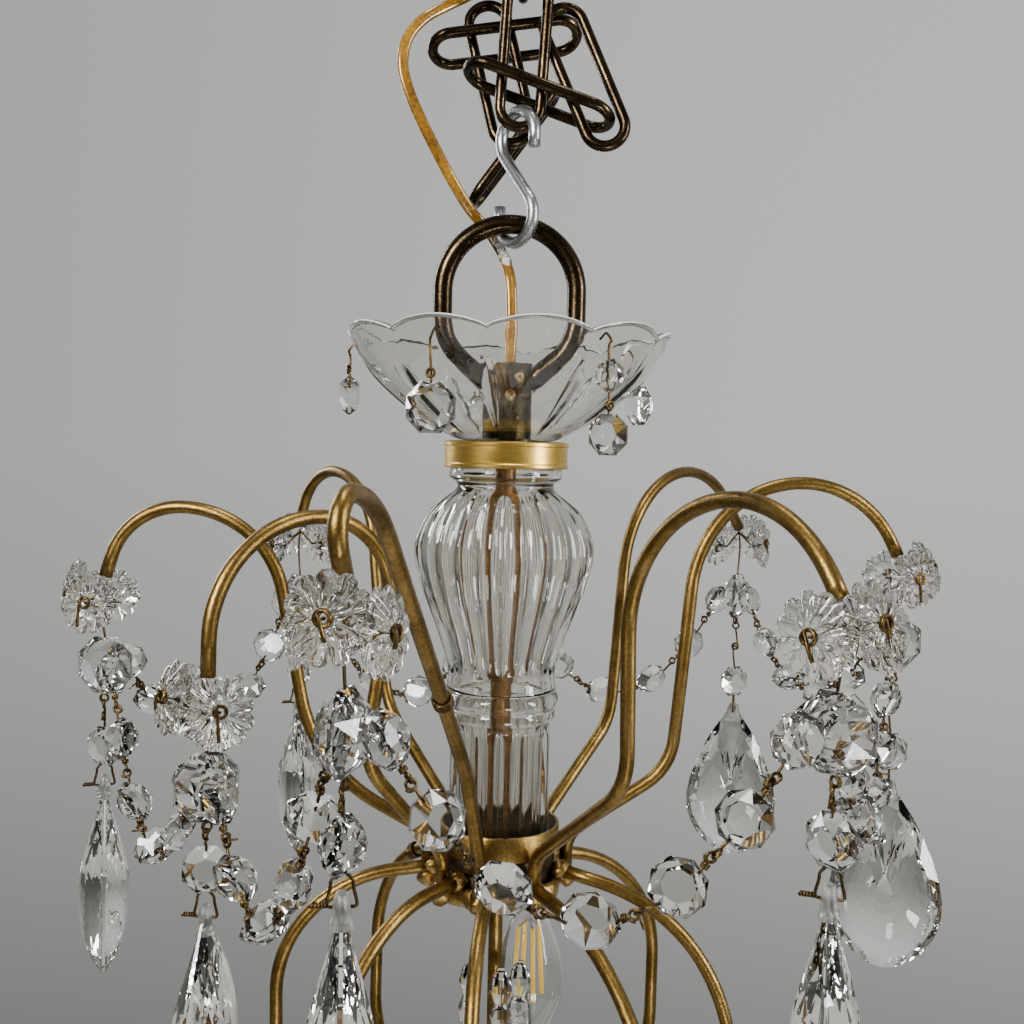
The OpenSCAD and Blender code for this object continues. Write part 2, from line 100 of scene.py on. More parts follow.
def world_ramp(world, source, stops):
    """Grey level read off the direction of view along one axis."""
    nodes, links = world.node_tree.nodes, world.node_tree.links
    shift = nodes.new("ShaderNodeMath")
    shift.operation = "MULTIPLY_ADD"
    shift.inputs[1].default_value = 0.5
    shift.inputs[2].default_value = 0.5
    links.new(source, shift.inputs[0])
    table = nodes.new("ShaderNodeValToRGB")
    links.new(shift.outputs[0], table.inputs[0])
    elements = table.color_ramp.elements
    while len(elements) < len(stops):
        elements.new(0.5)
    for element, (place, color) in zip(elements, stops):
        element.position = place
        element.color = (*color, 1)
    return table.outputs[0]


def make_world():
    """Studio room: pale wall in front, darker room behind the camera and below."""
    world = bpy.data.worlds.new("studio")
    bpy.context.scene.world = world
    world.use_nodes = True
    nodes, links = world.node_tree.nodes, world.node_tree.links
    where = nodes.new("ShaderNodeTexCoord")
    split = nodes.new("ShaderNodeSeparateXYZ")
    links.new(where.outputs["Generated"], split.inputs[0])
    depth = world_ramp(world, split.outputs["Y"], [
        (0.0, (0.12, 0.115, 0.105)), (0.3, (0.15, 0.145, 0.135)), (0.62, (0.26, 0.26, 0.25)),
        (0.86, (0.44, 0.445, 0.435)), (1.0, (0.50, 0.505, 0.49))])
    height = world_ramp(world, split.outputs["Z"], [
        (0.0, (0.22, 0.22, 0.21)), (0.26, (0.40, 0.40, 0.395)), (0.40, (0.82, 0.82, 0.81)),
        (0.50, (1.0, 1.0, 1.0)), (1.0, (1.0, 1.0, 1.0))])
    across = world_ramp(world, split.outputs["X"], [
        (0.0, (0.55, 0.55, 0.55)), (0.32, (0.78, 0.78, 0.78)), (0.60, (1.0, 1.0, 1.0)),
        (0.82, (1.12, 1.12, 1.12)), (1.0, (0.86, 0.86, 0.86))])
    color = depth
    for factor in (height, across):
        mix = nodes.new("ShaderNodeMix")
        mix.data_type = "RGBA"
        mix.blend_type = "MULTIPLY"
        mix.inputs["Factor"].default_value = 1.0
        links.new(color, mix.inputs[6])
        links.new(factor, mix.inputs[7])
        color = mix.outputs[2]
    links.new(color, nodes["Background"].inputs["Color"])
    nodes["Background"].inputs["Strength"].default_value = 1.25


def make_stage():
    make_world()
    floor_z = cad_box[0][2] - FLOOR_DROP
    mesh = bpy.data.meshes.new("floor")
    half = 1.5
    mesh.from_pydata([(-half, -half, floor_z), (half, -half, floor_z), (half, half, floor_z),
                      (-half, half, floor_z)], [], [(0, 1, 2, 3)])
    floor = bpy.data.objects.new("floor", mesh)
    bpy.context.scene.collection.objects.link(floor)
    paint = plain_material("floor_paint", (0.60, 0.60, 0.58), 0.8)
    spread = ramp(paint, noise(paint, 3.0), [(0.3, (0.56, 0.56, 0.54)), (0.7, (0.63, 0.63, 0.61))])
    paint.node_tree.links.new(spread, paint.node_tree.nodes["Principled BSDF"].inputs["Base Color"])
    mesh.materials.append(paint)
    middle = (0, 0, -0.35)
    area_light("key", (-0.75, -1.15, 0.35), middle, (0.42, 0.6), 33, (1.0, 0.985, 0.955))
    area_light("window", (1.25, -0.55, 0.0), middle, (0.22, 0.9), 19, (0.96, 0.98, 1.0))
    area_light("rim", (-1.0, 0.8, 0.2), middle, (0.18, 0.8), 9)
    area_light("low", (0.35, -1.0, -1.0), middle, (0.3, 0.2), 4)
    area_light("top", (0.1, -0.1, 0.9), middle, (0.35, 0.35), 7)


# ---------------------------------------------------------------- materials
def plain_material(name, color, rough, metal=0.0):
    mat = bpy.data.materials.new(name)
    mat.use_nodes = True
    shader = mat.node_tree.nodes["Principled BSDF"]
    shader.inputs["Base Color"].default_value = (*color, 1)
    shader.inputs["Roughness"].default_value = rough
    shader.inputs["Metallic"].default_value = metal
    return mat


def noise(mat, scale, detail=6.0, rough=0.6, stretch=None):
    nodes, links = mat.node_tree.nodes, mat.node_tree.links
    where = nodes.new("ShaderNodeTexCoord")
    tex = nodes.new("ShaderNodeTexNoise")
    tex.inputs["Scale"].default_value = scale
    tex.inputs["Detail"].default_value = detail
    tex.inputs["Roughness"].default_value = rough
    if stretch:
        mapping = nodes.new("ShaderNodeMapping")
        mapping.inputs["Scale"].default_value = stretch
        links.new(where.outputs["Object"], mapping.inputs["Vector"])
        links.new(mapping.outputs[0], tex.inputs["Vector"])
    else:
        links.new(where.outputs["Object"], tex.inputs["Vector"])
    return tex.outputs["Fac"]


def ramp(mat, source, stops):
    node = mat.node_tree.nodes.new("ShaderNodeValToRGB")
    mat.node_tree.links.new(source, node.inputs[0])
    elements = node.color_ramp.elements
    while len(elements) < len(stops):
        elements.new(0.5)
    for element, (place, color) in zip(elements, stops):
        element.position = place
        element.color = (*color, 1) if len(color) == 3 else color
    return node.outputs[0]


def bump(mat, source, strength, distance):
    node = mat.node_tree.nodes.new("ShaderNodeBump")
    node.inputs["Strength"].default_value = strength
    node.inputs["Distance"].default_value = distance
    mat.node_tree.links.new(source, node.inputs["Height"])
    mat.node_tree.links.new(node.outputs[0], mat.node_tree.nodes["Principled BSDF"].inputs["Normal"])


def worn_metal(name, colors, rough, scale, grain, depth, stretch=None):
    """Metal whose colour runs through patches from dark to worn, with fine pitting."""
    mat = plain_material(name, colors[1], rough[0], 1.0)
    links = mat.node_tree.links
    shader = mat.node_tree.nodes["Principled BSDF"]
    coarse = noise(mat, scale, 5.0, 0.6, stretch)
    speckle = noise(mat, grain, 5.0, 0.7)
    blended = mat.node_tree.nodes.new("ShaderNodeMix")
    blended.inputs["Factor"].default_value = 0.5
    links.new(coarse, blended.inputs[2])
    links.new(speckle, blended.inputs[3])
    patches = blended.outputs[0]
    links.new(ramp(mat, patches, [(0.36, colors[0]), (0.5, colors[1]), (0.64, colors[2])]),
              shader.inputs["Base Color"])
    grey = [(0.35, (rough[1],) * 3), (0.65, (rough[0],) * 3)]
    links.new(ramp(mat, patches, grey), shader.inputs["Roughness"])
    bump(mat, noise(mat, grain, 4.0, 0.6), 0.5, depth)
    return mat


def clear_glass(name, color, rough, ior, ripple, depth):
    mat = plain_material(name, color, rough)
    shader = mat.node_tree.nodes["Principled BSDF"]
    shader.inputs["Transmission Weight"].default_value = 1.0
    shader.inputs["IOR"].default_value = ior
    if depth:
        bump(mat, noise(mat, ripple, 2.0, 0.4), 0.4, depth)
    tint = noise(mat, 35.0, 2.0, 0.5)
    dusty = tuple(0.93 * part for part in color)
    mat.node_tree.links.new(ramp(mat, tint, [(0.3, color), (0.8, dusty)]), shader.inputs["Base Color"])
    return mat


def make_materials():
    mats = {
        "bronze": worn_metal("bronze", [(0.014, 0.009, 0.005), (0.045, 0.030, 0.016), (0.13, 0.092, 0.052)],
                             (0.18, 0.32), 90, 900, 0.00015),
        "gilt": worn_metal("gilt", [(0.085, 0.048, 0.011), (0.205, 0.125, 0.033), (0.36, 0.235, 0.075)],
                           (0.27, 0.44), 60, 800, 0.0003),
        "solder": worn_metal("solder", [(0.10, 0.058, 0.015), (0.30, 0.19, 0.055), (0.62, 0.43, 0.16)],
                             (0.24, 0.46), 260, 700, 0.0006),
        "satin_gold": worn_metal("satin_gold", [(0.50, 0.31, 0.055), (0.72, 0.47, 0.105), (0.85, 0.60, 0.19)],
                                 (0.27, 0.38), 60, 1600, 0.00006, (1, 1, 6)),
        "zinc": worn_metal("zinc", [(0.22, 0.235, 0.24), (0.42, 0.445, 0.45), (0.66, 0.68, 0.69)],
                           (0.25, 0.42), 140, 900, 0.0002),
        # dark brass of the boss and lamp holder, also used for the painted shade sheets inside the hub
        "dark": worn_metal("dark_brass_and_shade", [(0.015, 0.010, 0.006), (0.045, 0.032, 0.016), (0.11, 0.078, 0.036)],
                           (0.38, 0.6), 120, 700, 0.0004),
        "brass_screw": worn_metal("brass_screw",
                                  [(0.09, 0.062, 0.026), (0.21, 0.15, 0.065), (0.36, 0.27, 0.13)],
                                  (0.3, 0.46), 200, 900, 0.0002),
        "pin_wire": worn_metal("pin_wire", [(0.022, 0.014, 0.007), (0.075, 0.046, 0.018), (0.28, 0.18, 0.06)],
                               (0.28, 0.48), 160, 1500, 0.0001),
        "rod": worn_metal("rod", [(0.10, 0.046, 0.015), (0.21, 0.112, 0.04), (0.34, 0.20, 0.08)],
                          (0.36, 0.5), 200, 900, 0.0001),
        "glass": clear_glass("glass", (0.965, 0.955, 0.915), 0.01, 1.50, 70, 0.0005),
        "rim_glass": clear_glass("rim_glass", (0.98, 0.975, 0.95), 0.22, 1.14, 70, 0.0),
        "crystal": clear_glass("crystal", (0.98, 0.975, 0.96), 0.0, 1.55, 60, 0.0),
        "petal": clear_glass("petal", (0.965, 0.95, 0.905), 0.04, 1.50, 300, 0.0001),
        "frosted": clear_glass("frosted", (0.90, 0.90, 0.88), 0.35, 1.50, 800, 0.0004),
        "bulb_glass": clear_glass("bulb_glass", (0.99, 0.99, 0.99), 0.0, 1.45, 40, 0.0),
        "white": worn_metal("white_tape", [(0.45, 0.42, 0.36), (0.75, 0.73, 0.68), (0.85, 0.84, 0.80)],
                            (0.7, 0.9), 400, 900, 0.0004),
    }
    mats["white"].node_tree.nodes["Principled BSDF"].inputs["Metallic"].default_value = 0.0
    # The lip's glass is only partly clear: its pale diffuse share is a painted highlight for the whitish
    # glints on the clear rim.
    mats["rim_glass"].node_tree.nodes["Principled BSDF"].inputs["Transmission Weight"].default_value = 0.4
    flex = worn_metal("flex", [(0.13, 0.055, 0.005), (0.30, 0.145, 0.014), (0.52, 0.30, 0.05)],
                      (0.14, 0.26), 60, 500, 0.00005)
    shader = flex.node_tree.nodes["Principled BSDF"]
    shader.inputs["Metallic"].default_value = 0.25
    shader.inputs["Coat Weight"].default_value = 0.8
    shader.inputs["Coat Roughness"].default_value = 0.12
    mats["flex"] = flex
    filament = worn_metal("filament", [(0.85, 0.52, 0.05), (0.95, 0.62, 0.08), (1.0, 0.72, 0.16)],
                          (0.5, 0.6), 300, 900, 0.0001)
    shader = filament.node_tree.nodes["Principled BSDF"]
    shader.inputs["Metallic"].default_value = 0.0
    # The orange emission is painted light: a faint glow that brightens the filament strips, far below a lit
    # lamp.
    shader.inputs["Emission Color"].default_value = (1.0, 0.66, 0.10, 1)
    shader.inputs["Emission Strength"].default_value = 0.35
    mats["filament"] = filament
    return mats


# ---------------------------------------------------------------- mesh helpers
class Shape:
    """Vertices and faces gathered into one piece."""

    def __init__(self):
        self.verts, self.faces, self.slots, self.smooth = [], [], [], []

    def add(self, verts, faces, slot=0, smooth=True):
        base = len(self.verts)
        self.verts += [tuple(v) for v in verts]
        self.faces += [tuple(base + i for i in face) for face in faces]
        self.slots += [slot] * len(faces)
        self.smooth += [smooth] * len(faces)

    def place(self, part, matrix, slot=0, smooth=True):
        verts, faces = part
        self.add([matrix @ Vector(v) for v in verts], faces, slot, smooth)

    def piece(self, name, mats):
        mesh = bpy.data.meshes.new(name)
        mesh.from_pydata(self.verts, [], self.faces)
        for mat in mats:
            mesh.materials.append(mat)
        mesh.polygons.foreach_set("material_index", self.slots)
        mesh.polygons.foreach_set("use_smooth", self.smooth)
        mesh.validate()
        shell = bmesh.new()
        shell.from_mesh(mesh)
        bmesh.ops.recalc_face_normals(shell, faces=shell.faces)
        shell.to_mesh(mesh)
        shell.free()
        mesh.update()
        obj = bpy.data.objects.new(name, mesh)
        bpy.context.scene.collection.objects.link(obj)
        return obj


def finish_piece(shape, name, body, mats, nodes=()):
    obj = shape.piece(name, mats)
    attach(obj, body)
    if nodes:
        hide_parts(*nodes)
    return obj


def smooth_line(points, steps):
    """Catmull-Rom curve through the points."""
    pts = [Vector(p) for p in points]
    out = []
    for i in range(len(pts) - 1):
        a, b, c, d = pts[max(i - 1, 0)], pts[i], pts[i + 1], pts[min(i + 2, len(pts) - 1)]
        for k in range(steps):
            t = k / steps
            out.append(b + 0.5 * t * (c - a + t * (2 * a - 5 * b + 4 * c - d + t * (3 * (b - c) + d - a))))
    out.append(pts[-1])
    return out


def sweep(points, radius, sides=12, ends=True, section=None, side=(0, 0, 1), closed=False):
    """Tube along points; radius is a number or one number for each point."""
    pts = [Vector(p) for p in points]
    n = len(pts)
    radii = radius if isinstance(radius, (list, tuple)) else [radius] * n
    verts, faces = [], []
    up = Vector(side)
    for i, p in enumerate(pts):
        before = pts[(i - 1) % n] if closed else pts[max(i - 1, 0)]
        after = pts[(i + 1) % n] if closed else pts[min(i + 1, n - 1)]
        ahead = (after - before).normalized()
        u = up - ahead * up.dot(ahead)
        if u.length < 1e-6:
            u = ahead.orthogonal()
        u.normalize()
        up = u
        v = ahead.cross(u)
        for k in range(sides):
            angle = 2 * math.pi * k / sides
            x, y = math.cos(angle), math.sin(angle)
            if section:
                x, y = section(angle)
            verts.append(p + radii[i] * (u * x + v * y))
    rows = n if closed else n - 1
    for i in range(rows):
        for k in range(sides):
            a, b = i * sides + k, i * sides + (k + 1) % sides
            c, d = ((i + 1) % n) * sides + (k + 1) % sides, ((i + 1) % n) * sides + k
            faces.append((a, b, c, d))
    if ends and not closed:
        faces.append(tuple(range(sides))[::-1])
        faces.append(tuple((n - 1) * sides + k for k in range(sides)))
    return verts, faces


def lathe(profile, steps, radius_at=None, height_at=None, closed=True):
    """Body turned about Z; the two functions move each point by angle and row."""
    verts, faces = [], []
    rows = len(profile)
    for row, (r, z) in enumerate(profile):
        for k in range(steps):
            angle = 2 * math.pi * k / steps
            rr = radius_at(r, z, angle, row) if radius_at else r
            zz = height_at(r, z, angle, row) if height_at else z
            verts.append((rr * math.sin(angle), -rr * math.cos(angle), zz))
    for row in range(rows if closed else rows - 1):
        after = (row + 1) % rows
        for k in range(steps):
            nxt = (k + 1) % steps
            faces.append((row * steps + k, after * steps + k, after * steps + nxt, row * steps + nxt))
    return verts, faces


def frame_at(place, ahead, spin=0.0):
    """Matrix whose X runs along ahead, turned about it by spin."""
    x = Vector(ahead).normalized()
    z = Vector((0, 0, 1)) - x * x.z
    z = z.normalized() if z.length > 1e-4 else Vector((0, 1, 0))
    y = z.cross(x)
    turn = Matrix((x, y, z)).transposed().to_4x4()
    return Matrix.Translation(place) @ turn @ Matrix.Rotation(spin, 4, "X")


def polar(r, az, z):
    angle = math.radians(az)
    return Vector((r * math.sin(angle), -r * math.cos(angle), z)) * MM


def scaled(profile):
    """Profile given in millimetres, in metres."""
    return [(r * MM, z * MM) for r, z in profile]


WIRE_R = 0.55


def wire(shape, line, steps=0):
    """Pin wire along a line, which is smoothed first if steps are given."""
    shape.add(*sweep(smooth_line(line, steps) if steps else line, WIRE_R * MM, 7))


# ---------------------------------------------------------------- hand-bent tubes
# A bent tube is a list of moves (straight run, bend radius, bend angle)
def bent_line(x, z, slope, moves, step=4.0):
    line = [(x, z)]
    for run, radius, turn in moves:
        h = math.radians(slope)
        count = max(1, round(run / (3 * step)))
        if run:
            line += [(x + run * i / count * math.cos(h), z + run * i / count * math.sin(h))
                     for i in range(1, count + 1)]
            x, z = line[-1]
        if radius:
            s = math.copysign(1, turn)
            cx, cz = x - s * radius * math.sin(h), z + s * radius * math.cos(h)
            count = max(3, round(abs(math.radians(turn)) * radius / step))
            for i in range(1, count + 1):
                a = h + math.radians(turn) * i / count
                line.append((cx + s * radius * math.sin(a), cz - s * radius * math.cos(a)))
            x, z = line[-1]
            slope += turn
    return line


TUBE_R = 3.0
POST_R, POST_Z = 32, -436
FOOT_RUN, FOOT_R = 14, 14
# azimuth, foot slope and run, knee radius, leg slope and run, arch radii, tip slope and run
UPPER = [
    (-91, 28, 17.8, 70, 79, 48.4, 48, 33, -73, 10),
    (-140, 36, 51.1, 36, 80, 71.6, 44, 34, -76, 7),
    (-48, 48, 44.9, 28, 100, 49.7, 35, 47, -89, 13),
    (-13, 60, 44.4, 45, 47, 138.1, 49, 11, -118, 14),
    (140, 36, 50.1, 28, 83, 63.7, 59, 65, -45, 20),
    (31, 36, 58.8, 28, 91, 42.2, 57, 54, -57, 5),
    (98, 32, 35.1, 28, 85, 69.6, 55, 49, -63, 7),
    (180, 38, 30.1, 36, 92, 69.9, 34, 30, -75, 15),
]
SPRING_R, SPRING_Z = 29, -428
CAGE_TURN_Z, CAGE_R, CAGE_END_R = -520, 48, 38
# azimuth, slope at the hub, first run, shoulder radius
LOWER = [
    (-85, -6, 18, 59), (-37, -1, 18, 56), (-137, -12, 15, 59), (-5, -2, 15, 54),
    (30, -4, 22, 80), (80, -13, 16, 83), (123, -7, 9, 65), (180, -8, 15, 60),
]


def upper_line(arm):
    moves = [(FOOT_RUN, FOOT_R, arm[1] - 90), (arm[2], arm[3], arm[4] - arm[1]),
             (arm[5], arm[6], -arm[4]), (0, arm[7], arm[8]), (arm[9], 0, 0)]
    return bent_line(POST_R, POST_Z, 90, moves)


def lower_line(arm):
    slope = math.radians(arm[1])
    reach = SPRING_R + arm[2] * math.cos(slope) + arm[3] * (1 + math.sin(slope))
    drop = SPRING_Z + arm[2] * math.sin(slope) - arm[3] * math.cos(slope)
    moves = [(arm[2], arm[3], -90 - arm[1]), (drop - CAGE_TURN_Z, CAGE_R, -90),
             (reach - CAGE_R - CAGE_END_R, 0, 0)]
    return bent_line(SPRING_R, SPRING_Z, arm[1], moves)


TIPS = [polar(upper_line(arm)[-1][0], arm[0], upper_line(arm)[-1][1]) for arm in UPPER]


def hand_made(points, amount, seed):
    """Small slow wander of a line, none at its two ends."""
    local = random.Random(seed)
    phases = [local.uniform(0, 6.28) for _ in range(4)]
    n = len(points) - 1
    out = []
    for i, p in enumerate(points):
        t = i / n
        ease = math.sin(math.pi * t)
        wave = Vector((math.sin(7 * t + phases[0]), math.sin(9 * t + phases[1]), math.sin(6 * t + phases[2])))
        out.append(p + wave * amount * ease)
    return out


def lump(center, radius, seed, squash=(1, 1, 1)):
    """Uneven blob of solder."""
    local = random.Random(seed)
    waves = [(local.uniform(2, 5), local.uniform(0, 6.28)) for _ in range(3)]
    rows, cols = 9, 14
    verts, faces = [], []
    for i in range(rows + 1):
        polar_angle = math.pi * i / rows
        for k in range(cols):
            angle = 2 * math.pi * k / cols
            bumpy = 1 + 0.12 * sum(math.sin(w * angle + p + 3 * polar_angle) for w, p in waves)
            r = radius * bumpy
            verts.append(Vector(center) + Vector((
                r * math.sin(polar_angle) * math.cos(angle) * squash[0],
                r * math.sin(polar_angle) * math.sin(angle) * squash[1],
                r * math.cos(polar_angle) * squash[2])))
    for i in range(rows):
        for k in range(cols):
            nxt = (k + 1) % cols
            faces.append((i * cols + k, (i + 1) * cols + k, (i + 1) * cols + nxt, i * cols + nxt))
    return verts, faces


ARMS = {"upper": (UPPER, upper_line, 40), "lower": (LOWER, lower_line, 50)}


def arm_points(kind, i):
    """Centre line of one arm, with its slight unevenness."""
    arms, line_of, seed = ARMS[kind]
    points = [polar(x, arms[i][0], z) for x, z in line_of(arms[i])]
    return hand_made(points, 0.8 * MM, seed + i)


def make_arms(mats):
    for kind, (arms, _, _) in ARMS.items():
        for i, arm in enumerate(arms):
            points = arm_points(kind, i)
            local = random.Random(90 + i)
            radii = [TUBE_R * MM * (1 + 0.02 * math.sin(0.7 * k + local.uniform(0, 1)))
                     for k in range(len(points))]
            shape = Shape()
            side = polar(1, arm[0] + 90, 0)
            shape.add(*sweep(points, radii, 20, side=side))
            foot = points[0]
            if kind == "upper":
                shape.add(*lump(foot + Vector((0, 0, 2 * MM)), 4.4 * MM, 200 + i, (1, 1, 1.1)), 1)
            else:
                shape.add(*lump(points[0], 4.2 * MM, 300 + i, (1.1, 1.1, 0.9)), 1)
            name = "%s_arm_tube_%d" % (kind, i + 1)
            finish_piece(shape, name, "fixture", [mats["gilt"], mats["solder"]],
                         ["%s_arm_%d" % (kind, i + 1)])


# Binding wire: kind of arm, its index, and the distance from the axis at which it is tied
TIES = [("upper", 3, 92), ("lower", 5, 66), ("lower", 2, 60)]


def make_ties(mats):
    shape = Shape()
    for kind, i, reach in TIES:
        points = arm_points(kind, i)
        k = min(range(1, len(points) - 1), key=lambda n: abs(Vector(points[n]).xy.length - reach * MM))
        ahead = (points[k + 1] - points[k - 1]).normalized()
        side = ahead.orthogonal().normalized()
        coil = ring_line(points[k], side, ahead.cross(side), (TUBE_R + 0.6) * MM, 4.5, ahead * 4.6 * MM, 16)
        end = coil[-1] + side * 3 * MM - Vector((0, 0, 4 * MM))
        shape.add(*sweep(coil + [end], 0.6 * MM, 7))
    finish_piece(shape, "binding_wire", "fixture", [mats["pin_wire"]])


# ---------------------------------------------------------------- hooks, ring and flex
FLEX = [(-15, 12, -15), (-16.5, 12, -23), (-20, 10, -32), (-30, 4, -40), (-40, -2, -48),
        (-47, -6, -58), (-49, -8, -70), (-46, -8, -82), (-40, -7, -95), (-33, -5, -108),
        (-26, -2, -120), (-19, 3, -130), (-12, 8, -137), (-7, 12, -143), (-3, 12, -150),
        (0, 8, -160), (1, 6.5, -172), (1, 6, -184), (1, 6, -199)]
FLEX_D = 0.005
# bush in the ceiling plate round the top of the flex
BUSH = [(5.0, -9.5), (5.0, -16.2), (5.3, -16.6), (6.2, -16.6), (6.6, -16.2), (6.8, -13),
        (7.4, -12), (7.4, -9.5)]


def twin_section(angle):
    """Two round cores side by side with a groove between them."""
    x, y = math.cos(angle), math.sin(angle)
    waist = 0.60 - 0.18 * math.exp(-(x / 0.22) ** 2)
    return x, y * waist


def make_flex(mats):
    line = smooth_line([Vector(p) * MM for p in FLEX], 6)
    shape = Shape()
    shape.add(*sweep(line, FLEX_D / 2, 24, section=twin_section, side=(1, 0.15, 0)))
    cord = shape.piece("twin_flex", [mats["flex"]])
    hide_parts("flex_upper", "flex_lower")
    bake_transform(cord)
    bush = Shape()
    bush.add(*lathe(scaled(BUSH), 40))
    bush.verts = [tuple(Vector(v) + Vector((FLEX[0][0], FLEX[0][1], 0)) * MM) for v in bush.verts]
    finish_piece(bush, "flex_bush", "ceiling", [mats["bronze"]])
    tape = Shape()
    start = next(i for i, p in enumerate(line) if p.z < -143 * MM)
    local = random.Random(5)
    for k, place in enumerate(line[start:start + 9]):
        side = Vector((local.uniform(-1, 1), -1.6, local.uniform(-0.5, 0.5))).normalized()
        squash = (local.uniform(0.7, 1.3), 0.45, local.uniform(0.8, 1.5))
        tape.add(*lump(place + side * 1.8 * MM, local.uniform(1.0, 1.7) * MM, 500 + k, squash))
    finish_piece(tape, "flex_tape", "fixture", [mats["white"]])


S_LOW, S_HIGH, S_R, S_TIP, S_TURN, S_X, S_WIRE = -145.2, -87.3, 11.5, 6, -50, 2, 2.7
RING_TOP, RING_R, RING_WIRE = -137, 30, 4.3
LIMB = [(0, RING_R, -90), (12, 24, -50), (16, 0, 0)]


def make_hook_and_ring(mats):
    reach = S_HIGH - S_LOW - 2 * S_R
    lean = math.degrees(math.asin(2 * S_R / reach))
    run = math.sqrt(reach ** 2 - (2 * S_R) ** 2)
    line = bent_line(-S_R, S_TIP, -90, [(S_TIP, S_R, 180 + lean), (run, S_R, -180 - lean), (S_TIP, 0, 0)], 2)
    turn = Matrix.Rotation(math.radians(S_TURN), 4, "Z")
    turn = Matrix.Translation((S_X * MM, 0, (S_LOW + S_R) * MM)) @ turn
    points = [turn @ (Vector((x, 0, z)) * MM) for x, z in line]
    shape = Shape()
    shape.add(*sweep(points, S_WIRE * MM, 24, side=turn.to_3x3() @ Vector((0, 1, 0))))
    finish_piece(shape, "s_hook_wire", "chain", [mats["zinc"]], ["s_hook"])
    limb = bent_line(0, RING_TOP, 0, LIMB, 2)
    points = [Vector((-x, 0, z)) * MM for x, z in limb[:0:-1]] + [Vector((x, 0, z)) * MM for x, z in limb]
    shape = Shape()
    shape.add(*sweep(points, RING_WIRE * MM, 28, side=(0, 1, 0)))
    finish_piece(shape, "ring_wire", "fixture", [mats["bronze"]], ["hanging_ring"])


# ---------------------------------------------------------------- glass bowl and stem
BOWL_FOOT, BOWL_RIM, BOWL_R, BOWL_WALL = -234, -187, 72, 3.0
BOWL_STEPS, ROD_BORE_R = 360, 5.4
LOBES = 10
BOWL = [(17, BOWL_FOOT), (26, -231.8), (43, -221.5), (61, -205.5), (BOWL_R, BOWL_RIM)]


LOBE_PHASE = math.radians(-55)


def lobe(angle):
    """1 in the middle of a lobe, 0 between two lobes."""
    return abs(math.cos(LOBES / 2 * angle + LOBE_PHASE))


def make_bowl(mats):
    outer = [(p.x, p.y) for p in smooth_line([(r, z, 0) for r, z in BOWL], 12)]
    n = len(outer)
    lip = [(BOWL_R - 0.2, BOWL_RIM + 0.35), (BOWL_R - 1.0, BOWL_RIM + 0.6), (BOWL_R - 1.9, BOWL_RIM + 0.5),
           (BOWL_R - 2.4, BOWL_RIM + 0.2)]
    inner = [(outer[i][0] - BOWL_WALL,
              outer[i][1] + (-0.6 if i == n - 1 else BOWL_WALL * 0.5)) for i in range(n - 1, 0, -1)]
    bottom = BOWL_FOOT + BOWL_WALL
    profile = outer + lip + inner + [(17, bottom), (ROD_BORE_R, bottom), (ROD_BORE_R, BOWL_FOOT)]
    span = (BOWL_RIM - BOWL_FOOT) * MM

    def rise(z):
        return max(0.0, min(1.0, (z - BOWL_FOOT * MM) / span))

    def leaf(angle, up):
        """Depth of the pointed cut between two lobes."""
        if not 0.06 < up < 0.70:
            return 0.0
        along = math.sin(math.pi * (up - 0.06) / 0.64)
        across = lobe(angle) / (0.26 * along + 0.02)
        return max(0.0, 1 - across ** 2) * min(1.0, 2.5 * along)

    def radius_at(r, z, angle, row):
        if r < 16 * MM:
            return r
        up = rise(z)
        wave = 2.4 * MM * (lobe(angle) ** 0.8 - 0.62) * up ** 1.5
        if row < n:
            return r + wave - 1.9 * MM * leaf(angle, up)
        return r + wave

    def height_at(r, z, angle, row):
        up = rise(z)
        return z + (4.6 * MM * (lobe(angle) ** 0.75 - 0.66)) * up ** 4

    shape = Shape()
    shape.add(*lathe(scaled(profile), BOWL_STEPS, radius_at, height_at))
    # Lip faces take the part-diffuse rim glass, a painted highlight along the rim.
    for face in range((n - 1) * BOWL_STEPS, (n + len(lip)) * BOWL_STEPS):
        shape.slots[face] = 1
    finish_piece(shape, "glass_bowl", "fixture", [mats["glass"], mats["rim_glass"]], ["bowl"])


BALUSTER = [(25, -246), (25.5, -250), (22, -255), (34, -266), (40, -282), (36.5, -300),
            (29, -320), (24.5, -336), (25, -346)]
FLUTES = 24


def fluted(outer, name, node, wall, top, low, depth, mats):
    inner = [(r - wall, z) for r, z in outer[::-1]]

    def radius_at(r, z, angle, row):
        if z > top * MM or z < low * MM:
            return r
        ease = min(1.0, (top * MM - z) / (6 * MM), (z - low * MM) / (6 * MM))
        ribs = abs(math.sin(FLUTES / 2 * angle)) ** 0.8
        amount = depth * MM * ease * r / (30 * MM)
        return r + amount * (ribs - 0.75) * (1 if row < len(outer) else -0.5)

    shape = Shape()
    shape.add(*lathe(scaled(list(outer) + inner), FLUTES * 12, radius_at))
    finish_piece(shape, name, "fixture", [mats["glass"]], [node])


